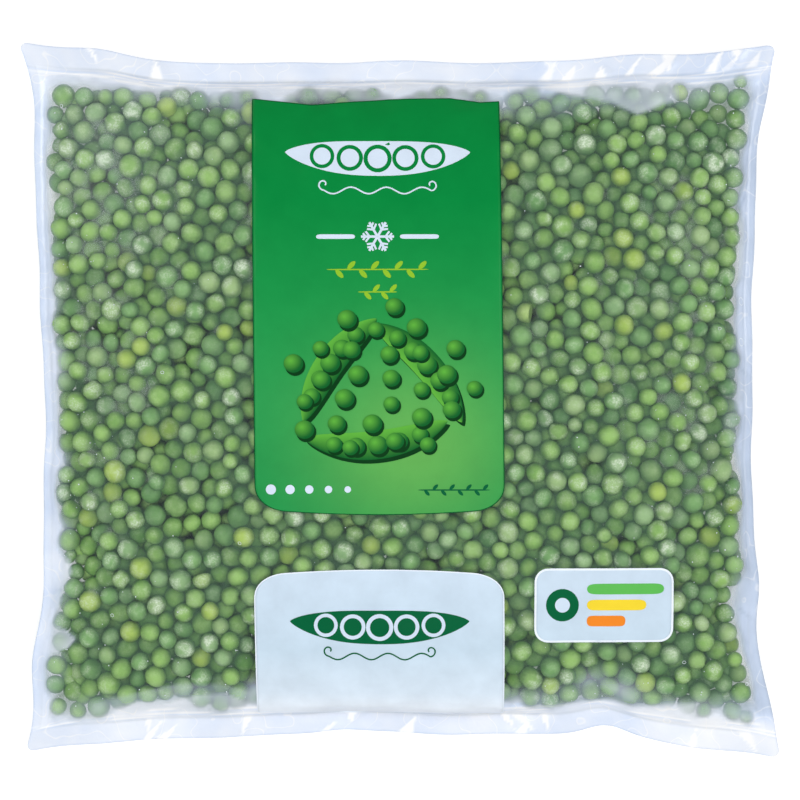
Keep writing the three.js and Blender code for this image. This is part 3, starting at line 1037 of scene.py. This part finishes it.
def colour(red, green, blue):
    """A colour given in screen values from 0 to 255, as Blender's linear ones."""
    linear = [c / 255 / 12.92 if c <= 10 else ((c / 255 + 0.055) / 1.055) ** 2.4 for c in (red, green, blue)]
    return (*linear, 1.0)


def new_material(name, inputs):
    """A material with a Principled shader. Returns it, its tree and the shader's inputs."""
    material = bpy.data.materials.new(name)
    material.use_nodes = True
    tree = material.node_tree
    shader = tree.nodes["Principled BSDF"]
    for key, value in inputs.items():
        shader.inputs[key].default_value = value
    return material, tree, shader.inputs


# Effects that several materials share


def pea_skin_group():
    """Skin of a frozen pea: its own tone, painted light on its crown, soft blotches, fine wrinkles and specks
    of frost.
    """
    tree, given, made = node_group(
        "pea_skin",
        "ShaderNodeTree",
        {
            "Place": ("NodeSocketVector", None),
            "Deep": ("NodeSocketColor", colour(70, 110, 50)),
            "Bright": ("NodeSocketColor", colour(140, 180, 100)),
            "Tone": ("NodeSocketFloat", 0.5),
            "Painted Crown Light": ("NodeSocketFloat", 0.5),
            "Frost": ("NodeSocketFloat", 0.3),
            "Wrinkle": ("NodeSocketFloat", 0.5),
        },
        {"Colour": "NodeSocketColor", "Roughness": "NodeSocketFloat", "Height": "NodeSocketFloat"},
    )
    blotch = noise(tree, given["Place"], 230.0, 1.0)
    grain = noise(tree, given["Place"], 1500.0, 2.0, 0.7)
    tone = given["Tone"]
    # Painted light: the crown term makes each pea lighter where it faces up or down and darker towards its
    # rim.
    for value, times in ((blotch, 1.1), (given["Painted Crown Light"], 0.5), (grain, 0.5)):
        tone = calc(tree, "ADD", tone, off_middle(tree, value, 0.5, times))
    skin = blend_colour(tree, calc(tree, "MULTIPLY", tone, 1.0, clamp=True), given["Deep"], given["Bright"])
    patch = remap(tree, blotch, 0.42, 0.62)
    speck = remap(tree, grain, 0.45, 0.62)
    speck = calc(tree, "MULTIPLY", calc(tree, "ADD", calc(tree, "MULTIPLY", speck, 0.7), 0.3), patch)
    frost = calc(tree, "MULTIPLY", speck, given["Frost"], clamp=True)
    tree.links.new(blend_colour(tree, frost, skin, colour(206, 222, 196)), made["Colour"])
    tree.links.new(remap(tree, frost, 0.0, 1.0, 0.4, 0.7), made["Roughness"])
    folds = noise(tree, given["Place"], 620.0, 2.0, 0.6)
    folds = calc(tree, "MULTIPLY", folds, given["Wrinkle"])
    tree.links.new(calc(tree, "ADD", folds, calc(tree, "MULTIPLY", frost, 0.35)), made["Height"])
    return tree


def print_grain_group():
    """Ink printed on film: faint mottling."""
    tree, given, made = node_group(
        "print_grain",
        "ShaderNodeTree",
        {
            "Place": ("NodeSocketVector", None),
            "Ink": ("NodeSocketColor", (0.5, 0.5, 0.5, 1)),
            "Strength": ("NodeSocketFloat", 0.1),
        },
        {"Colour": "NodeSocketColor", "Roughness": "NodeSocketFloat", "Height": "NodeSocketFloat"},
    )
    mottle = noise(tree, given["Place"], 110.0, 3.0, 0.6)
    shade = remap(tree, mottle, 0.3, 0.7, -1.0, 1.0)
    level = calc(tree, "ADD", 1.0, calc(tree, "MULTIPLY", shade, given["Strength"]))
    tree.links.new(scaled(tree, given["Ink"], level), made["Colour"])
    tree.links.new(remap(tree, mottle, 0.3, 0.7, 0.3, 0.4), made["Roughness"])
    tree.links.new(mottle, made["Height"])
    return tree


def place_of(tree):
    return add(tree, "ShaderNodeTexCoord").outputs["Object"]


def attribute_of(tree, name):
    return add(tree, "ShaderNodeAttribute", attribute_name=name).outputs["Fac"]


def bump(tree, height, strength, distance_mm):
    inputs = {"Height": height, "Strength": strength, "Distance": distance_mm * MM}
    return output_of(tree, "ShaderNodeBump", inputs)


def dress(tree, shader, group, inputs, strength, distance_mm):
    """Gives a shader the colour, the roughness and the bumps that a node group makes."""
    skin = add(tree, "ShaderNodeGroup", inputs, node_tree=group).outputs
    tree.links.new(skin["Colour"], shader["Base Color"])
    tree.links.new(skin["Roughness"], shader["Roughness"])
    tree.links.new(bump(tree, skin["Height"], strength, distance_mm), shader["Normal"])


def pea_material(name, skin_group, deep, bright, frost, wrinkle):
    """A pea's skin, with painted light and the most frost on its crown."""
    material, tree, shader = new_material(name, {"IOR": 1.42})
    crown = attribute_of(tree, "crown")
    crown_frost = remap(tree, crown, 0.0, 1.0, 0.3 * frost, 1.3 * frost)
    inputs = {
        "Place": place_of(tree),
        "Deep": deep,
        "Bright": bright,
        "Tone": attribute_of(tree, "tone"),
        "Painted Crown Light": crown,
        "Frost": calc(tree, "MULTIPLY", attribute_of(tree, "chill"), crown_frost),
        "Wrinkle": wrinkle,
    }
    dress(tree, shader, skin_group, inputs, 0.6, 0.35)
    return material


def film_material():
    """Thin clear film, milky where it stands off the peas and where it is sealed. Its colour holds painted
    highlights and shade.
    """
    material, tree, shader = new_material("clear_film", {"IOR": 1.7, "Roughness": 0.26})
    place = place_of(tree)
    milk = attribute_of(tree, "milk")
    shade = attribute_of(tree, "shade")
    bluish = blend_colour(tree, remap(tree, shade, -1.0, 0.0), colour(172, 188, 212), colour(213, 227, 250))
    crinkle = noise(tree, place, 260.0, 2.0, 0.6)
    # Painted highlights: white lines along fine crinkles where the film is milky.
    run = calc(tree, "SUBTRACT", noise(tree, place, 130.0, 0.4, 0.3), 0.45)
    line = remap(tree, calc(tree, "ABSOLUTE", run), 0.0, 0.016, 0.4, 0.0)
    lines = calc(tree, "MULTIPLY", line, remap(tree, milk, 0.62, 0.8))
    white = calc(tree, "ADD", remap(tree, shade, 0.0, 1.0), lines, clamp=True)
    tint = blend_colour(tree, white, bluish, colour(252, 253, 255))
    # Painted shade: dark green over the gaps between the peas.
    tint = blend_colour(tree, attribute_of(tree, "painted_gap_shade"), tint, colour(67, 108, 72))
    tree.links.new(tint, shader["Base Color"])
    tree.links.new(milk, shader["Alpha"])
    tree.links.new(bump(tree, crinkle, 0.35, 0.6), shader["Normal"])
    return material


def ink_material(name, grain, ink, strength):
    """Ink whose colour comes from a function that adds its own nodes to the tree."""
    material, tree, shader = new_material(name, {"Specular IOR Level": 0.12})
    place = place_of(tree)
    dress(tree, shader, grain, {"Place": place, "Ink": ink(tree, place), "Strength": strength}, 0.15, 0.4)
    return material


def down_panel(tree, axes, panel, stops):
    """Colours that follow each other down a panel."""
    down = remap(tree, axes["Y"], panel["top"] * MM, panel["bottom"] * MM)
    ramp = add(tree, "ShaderNodeValToRGB", {0: down})
    while len(ramp.color_ramp.elements) < len(stops):
        ramp.color_ramp.elements.new(0.5)
    for element, (at, shade) in zip(ramp.color_ramp.elements, stops):
        element.position = at
        element.color = shade
    return ramp.outputs["Color"]


def green_ink(tree, place):
    """The green panel's colour: deep green at the top, and yellow green where it glows low down."""
    axes = add(tree, "ShaderNodeSeparateXYZ", {0: place}).outputs
    stops = (
        (0.0, colour(0, 124, 54)),
        (0.25, colour(0, 130, 58)),
        (0.48, colour(20, 140, 67)),
        (0.72, colour(36, 146, 75)),
        (1.0, colour(26, 140, 71)),
    )
    base = down_panel(tree, axes, GREEN_PANEL, stops)
    square = 0.0
    for axis, middle, reach in GLOW:
        off = calc(tree, "DIVIDE", calc(tree, "SUBTRACT", axes[axis], middle * MM), reach * MM)
        square = calc(tree, "ADD", square, calc(tree, "MULTIPLY", off, off))
    glow = calc(tree, "EXPONENT", calc(tree, "MULTIPLY", square, -1.0))
    return blend_colour(tree, calc(tree, "MULTIPLY", glow, 0.75), base, colour(108, 176, 84))


def white_ink(tree, place):
    """The white panels' colour, with painted light that makes it lighter towards the seal, where the film
    slopes away from the light.
    """
    axes = add(tree, "ShaderNodeSeparateXYZ", {0: place}).outputs
    stops = (
        (0.0, colour(196, 213, 229)),
        (0.55, colour(192, 211, 226)),
        # Painted light: lighter from here down to the seal.
        (0.85, colour(210, 224, 237)),
        (1.0, colour(232, 239, 248)),
    )
    return down_panel(tree, axes, WHITE_PANEL, stops)


def vertex_ink(tree, place):
    """The ink that each point of the mesh holds."""
    return add(tree, "ShaderNodeAttribute", attribute_name="ink").outputs["Color"]


# The peas' meshes, from a tree of geometry nodes


def pea_tree():
    """A tree that puts a pea on every point and gives each its own dents."""
    tree, given, made = node_group(
        "peas_on_points",
        "GeometryNodeTree",
        {
            "Geometry": ("NodeSocketGeometry", None),
            "Sides": ("NodeSocketInt", 5),
            "Dent": ("NodeSocketFloat", 0.0002),
            "Dent Size": ("NodeSocketFloat", 0.004),
            "Groove": ("NodeSocketFloat", 0.0),
            "Cut": ("NodeSocketFloat", 1.0),
            "Skin": ("NodeSocketMaterial", None),
        },
        {"Geometry": "NodeSocketGeometry"},
    )
    sides = {"Vertices " + axis: given["Sides"] for axis in "XYZ"}
    cube = output_of(tree, "GeometryNodeMeshCube", {"Size": (1, 1, 1), **sides})
    spot = output_of(tree, "GeometryNodeInputPosition")
    out = output_of(tree, "ShaderNodeVectorMath", {0: spot}, operation="NORMALIZE")
    belt = calc(tree, "DIVIDE", add(tree, "ShaderNodeSeparateXYZ", {0: out}).outputs["Z"], 0.16)
    belt = calc(tree, "EXPONENT", calc(tree, "MULTIPLY", calc(tree, "MULTIPLY", belt, belt), -1.0))
    ball = scaled(tree, out, calc(tree, "SUBTRACT", 1.0, calc(tree, "MULTIPLY", belt, given["Groove"])))
    cut = calc(tree, "MULTIPLY", given["Cut"], -1.0)
    lowest = output_of(tree, "ShaderNodeCombineXYZ", {0: -9.0, 1: -9.0, 2: cut})
    ball = output_of(tree, "ShaderNodeVectorMath", {0: ball, 1: lowest}, operation="MAXIMUM")
    round_pea = output_of(tree, "GeometryNodeSetPosition", {"Geometry": cube, "Position": ball})

    def named(label):
        return output_of(tree, "GeometryNodeInputNamedAttribute", {"Name": label}, data_type="FLOAT_VECTOR")

    turn = output_of(tree, "FunctionNodeEulerToRotation", {0: named("spin")})
    placing = {"Points": given["Geometry"], "Instance": round_pea, "Rotation": turn, "Scale": named("size")}
    placed = output_of(tree, "GeometryNodeInstanceOnPoints", placing)
    real = output_of(tree, "GeometryNodeRealizeInstances", {"Geometry": placed})
    where = output_of(tree, "GeometryNodeInputPosition")
    lumps = noise(tree, where, calc(tree, "DIVIDE", 1.0, given["Dent Size"]), 1.0)
    depth = off_middle(tree, lumps, 0.5, calc(tree, "MULTIPLY", given["Dent"], -2.0))
    facing = output_of(tree, "GeometryNodeInputNormal")
    offset = scaled(tree, facing, depth)
    dented = output_of(tree, "GeometryNodeSetPosition", {"Geometry": real, "Offset": offset})
    # How squarely each point faces up or down, kept as crown: the skin paints light there and puts the most
    # frost there.
    level = calc(tree, "ABSOLUTE", add(tree, "ShaderNodeSeparateXYZ", {0: facing}).outputs["Z"])
    store = {"Geometry": dented, "Name": "crown", "Value": remap(tree, level, 0.1, 1.0, kind="SMOOTHSTEP")}
    marked = output_of(tree, "GeometryNodeStoreNamedAttribute", store, data_type="FLOAT", domain="POINT")
    shaded = output_of(tree, "GeometryNodeSetShadeSmooth", {"Geometry": marked})
    skinned = output_of(tree, "GeometryNodeSetMaterial", {"Geometry": shaded, "Material": given["Skin"]})
    tree.links.new(skinned, made["Geometry"])
    return tree


def socket_id(tree, label):
    return next(s.identifier for s in tree.interface.items_tree if s.name == label and s.in_out == "INPUT")


def grown(name, points, attributes, tree, values):
    """The mesh that a tree grows on points, as a plain object."""
    mesh = bpy.data.meshes.new(name + "_points")
    mesh.from_pydata((points * MM).tolist(), [], [])
    for label, (kind, data) in attributes.items():
        set_attribute(mesh, label, data, kind)
    holder = bpy.data.objects.new(name + "_points", mesh)
    bpy.context.collection.objects.link(holder)
    modifier = holder.modifiers.new("grow", "NODES")
    modifier.node_group = tree
    for label, value in values.items():
        modifier[socket_id(tree, label)] = value
    ready = holder.evaluated_get(bpy.context.evaluated_depsgraph_get())
    made = bpy.data.meshes.new_from_object(ready)
    made.name = name
    bpy.data.objects.remove(holder)
    bpy.data.meshes.remove(mesh)
    piece = bpy.data.objects.new(name, made)
    bpy.context.collection.objects.link(piece)
    return piece


# Share, deep and bright tone, frost, wrinkle, dent in mm, dent size in mm, groove, and where it is cut
PEA_KINDS = {
    "peas_fresh": (0.37, colour(92, 140, 64), colour(144, 185, 99), 0.7, 0.9, 0.26, 4.0, 0.0, 1.0),
    "peas_deep": (0.19, colour(80, 128, 70), colour(124, 168, 102), 0.7, 1.0, 0.26, 3.6, 0.0, 1.0),
    "peas_pale": (0.12, colour(106, 148, 86), colour(152, 182, 122), 0.9, 0.9, 0.24, 4.2, 0.0, 1.0),
    "peas_yellow": (0.044, colour(122, 158, 62), colour(162, 190, 88), 0.5, 0.8, 0.22, 4.0, 0.0, 1.0),
    "peas_frosted": (0.116, colour(98, 140, 86), colour(146, 180, 126), 1.6, 1.2, 0.28, 3.0, 0.0, 1.0),
    "peas_wrinkled": (0.156, colour(88, 134, 66), colour(140, 178, 102), 1.0, 2.0, 0.56, 2.6, 0.08, 1.0),
    "peas_halved": (0.004, colour(104, 144, 76), colour(160, 188, 110), 0.6, 0.8, 0.24, 3.0, 0.0, 0.3),
}


def pea_pieces(spots, radius, film):
    """Every pea, one piece for each kind, with those that are hardly or never seen as two plainer kinds."""
    rng = np.random.default_rng(SEED + 1)
    kinds = rng.choice(len(PEA_KINDS), len(spots), p=[row[0] for row in PEA_KINDS.values()])
    spin = rng.uniform(0, 2 * math.pi, (len(spots), 3))
    oval = 1 + rng.normal(-0.02, 0.06, (len(spots), 3)).clip(-0.15, 0.03)
    a, b = to_sheet(spots[:, 0], spots[:, 1])
    under = on_film(film, "front", a, b) - spots[:, 2] - radius
    above = spots[:, 2] - radius - on_film(film, "back", a, b)
    buried = np.minimum(under, above)
    # Painted shade: a pea is darker the deeper it lies under the film.
    tone = (rng.normal(0.66, 0.18, len(spots)) - 0.3 * smooth(buried / 5)).clip(0, 1)
    chill = rng.uniform(0, 1, len(spots)) ** 1.5 * (1 - 0.7 * smooth(buried / 4))
    tree = pea_tree()
    skin = pea_skin_group()
    outer, core = buried <= UNDER_DEPTH, buried > CORE_DEPTH
    rows = [(name, row, (kinds == k) & outer, 5) for k, (name, row) in enumerate(PEA_KINDS.items())]
    rows.append(("peas_under", PEA_KINDS["peas_fresh"], ~outer & ~core, 4))
    rows.append(("peas_core", PEA_KINDS["peas_fresh"], core, 3))
    pieces = []
    for name, (_, deep, bright, frost, wrinkle, dent, dent_size, groove, cut), chosen, sides in rows:
        size = (radius[chosen, None] * oval[chosen] + 0.02) * MM
        attributes = {
            "size": ("FLOAT_VECTOR", size),
            "spin": ("FLOAT_VECTOR", spin[chosen]),
            "tone": ("FLOAT", tone[chosen]),
            "chill": ("FLOAT", chill[chosen]),
        }
        values = {
            "Sides": sides,
            "Dent": dent * MM,
            "Dent Size": dent_size * MM,
            "Groove": groove,
            "Cut": cut,
            "Skin": pea_material(name + "_skin", skin, deep, bright, frost, wrinkle),
        }
        pieces.append(grown(name, spots[chosen], attributes, tree, values))
    return pieces


def frost_pieces(film):
    """Ice grains scattered inside the film, denser near the edges, and a few drops drawn only as white rings:
    a painted highlight round each drop's rim.
    """
    rng = np.random.default_rng(SEED + 3)
    a = rng.uniform(-1, 1, 40 * GRAINS)
    b = rng.uniform(-1, 1, 40 * GRAINS)
    edge = np.maximum(np.abs(a), np.abs(b))
    a, b = a * (HALF_WIDTH - SIDE_LIP - 3), b * (HALF_LENGTH - SEAL_BAND - 3)
    x, y = to_bag(a, b)
    chosen = (print_cover(x, y) < 0.05) & (rng.uniform(0, 1, len(a)) < 0.15 + 0.85 * edge**6)
    a, b, x, y = a[chosen], b[chosen], x[chosen], y[chosen]
    z = film_top(film, a, b)
    material = new_material("ice", {"Base Color": colour(232, 240, 246), "Roughness": 0.25})[0]

    grains = slice(0, GRAINS)
    radius = rng.uniform(0.09, 0.24, (GRAINS, 1)) * rng.uniform(0.7, 1.3, (GRAINS, 3))
    attributes = {
        "size": ("FLOAT_VECTOR", radius * (1, 1, 0.6) * MM),
        "spin": ("FLOAT_VECTOR", rng.uniform(0, 2 * math.pi, (GRAINS, 3)) * (0, 0, 1)),
    }
    spots = np.stack([x[grains], y[grains], z[grains] - 0.1], axis=-1)
    values = {"Sides": 3, "Dent": 0.0, "Dent Size": MM, "Groove": 0.0, "Cut": 1.0, "Skin": material}
    pieces = [grown("ice_grains", spots, attributes, bpy.data.node_groups["peas_on_points"], values)]

    # Each drop is only its painted highlight, a white ring of ice's colour round its rim.
    turns = np.arange(RIM_SIDES) * 2 * math.pi / RIM_SIDES
    turn, roll = np.meshgrid(turns, np.arange(RIM_ROUND) * 2 * math.pi / RIM_ROUND, indexing="ij")
    drops = [(x[k], y[k], 0.5, 1.0) for k in range(GRAINS, GRAINS + DROPS)]
    drops += [(drop_x, drop_y, 0.75, 1.8) for drop_x, drop_y in LONG_DROPS]
    points, faces = [], []
    for drop_x, drop_y, wide, tall in drops:
        out = wide * (1 + 0.12 * np.sin(2 * turn + drop_x)) + RIM_RADIUS * np.cos(roll)
        ring_x, ring_y = drop_x + out * np.cos(turn), drop_y + tall * out * np.sin(turn)
        ring_z = film_top(film, *to_sheet(ring_x, ring_y)) + RIM_RADIUS * np.sin(roll)
        first = len(points) * RIM_SIDES * RIM_ROUND
        points.append(np.stack([ring_x, ring_y, ring_z], axis=-1).reshape(-1, 3))
        for i in range(RIM_SIDES):
            for j in range(RIM_ROUND):
                i2, j2 = (i + 1) % RIM_SIDES, (j + 1) % RIM_ROUND
                faces.append([first + p * RIM_ROUND + q for p, q in ((i, j), (i2, j), (i2, j2), (i, j2))])
    pieces.append(new_mesh("drop_rim_highlights", np.concatenate(points), faces, material))
    return pieces


# Stage, lights and camera


def stage():
    looks = {"Base Color": (0.55, 0.55, 0.55, 1), "Roughness": 0.9, "Specular IOR Level": 0.0}
    looks.update({"Emission Color": (1, 1, 1, 1), "Emission Strength": 0.56})
    floor_material = new_material("floor", looks)[0]
    half = FLOOR_SIZE / 2
    corners = [(-half, -half, 0), (half, -half, 0), (half, half, 0), (-half, half, 0)]
    new_mesh("floor", corners, [(0, 1, 2, 3)], floor_material, flat=1)


def soft_light(name, place, size, watts, mirrored=True):
    """A square light that faces the bag, in metres. Unless it is mirrored, shiny surfaces don't show it."""
    lamp = bpy.data.lights.new(name, "AREA")
    lamp.shape = "SQUARE"
    lamp.size = size
    lamp.energy = watts
    holder = bpy.data.objects.new(name, lamp)
    bpy.context.collection.objects.link(holder)
    holder.location = place
    x, y, z = place
    holder.rotation_euler = (math.atan2(math.hypot(x, y), z), 0, math.atan2(y, x) + math.pi / 2)
    holder.visible_glossy = mirrored


def lights():
    world = bpy.data.worlds.new("studio")
    world.use_nodes = True
    world.node_tree.nodes["Background"].inputs["Color"].default_value = (1, 1, 1, 1)
    world.node_tree.nodes["Background"].inputs["Strength"].default_value = 0.3
    bpy.context.scene.world = world
    soft_light("overhead", (0.1, -0.4, 1.5), 0.9, 14.4, mirrored=False)
    soft_light("left", (-0.75, 0.3, 0.85), 0.5, 3.4)
    soft_light("right", (0.8, 0.2, 0.85), 0.5, 3.0)
    bpy.context.scene.view_settings.view_transform = "Standard"


def camera():
    """Straight above the bag, with its top end up. The picture is VIEW_WIDTH across at VIEW_LEVEL."""
    lens = bpy.data.cameras.new("camera")
    lens.lens = 150
    lens.sensor_width = 36
    lens.clip_end = 50
    holder = bpy.data.objects.new("camera", lens)
    bpy.context.collection.objects.link(holder)
    holder.location = (0, 0, (VIEW_LEVEL + VIEW_WIDTH * lens.lens / lens.sensor_width) * MM)
    bpy.context.scene.camera = holder


spots, radius = fill_holes(*pack_peas())
film = make_film(spots, radius)
grain = print_grain_group()
green = ink_material("green_ink", grain, green_ink, 0.04)
white = ink_material("white_ink", grain, white_ink, 0.05)

bag_film = film_piece(film, film_material())
peas = pea_pieces(spots, radius, film)

panels = [
    panel_piece("print_green", GREEN_PANEL, film, green),
    panel_piece("print_white", WHITE_PANEL, film, white),
    panel_piece("print_badge", BADGE, film, white),
]
motif_ink = ink_material("motif_ink", grain, vertex_ink, 0.03)
pale, tinted = motifs()
printed = [
    motif_piece("motifs_white", pale, film, motif_ink),
    motif_piece("motifs_tinted", tinted, film, motif_ink),
]
frost = frost_pieces(film)
for piece in [bag_film, *peas, *panels, *printed, *frost]:
    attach(piece, "root")
    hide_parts("bag")

stage()
lights()
camera()
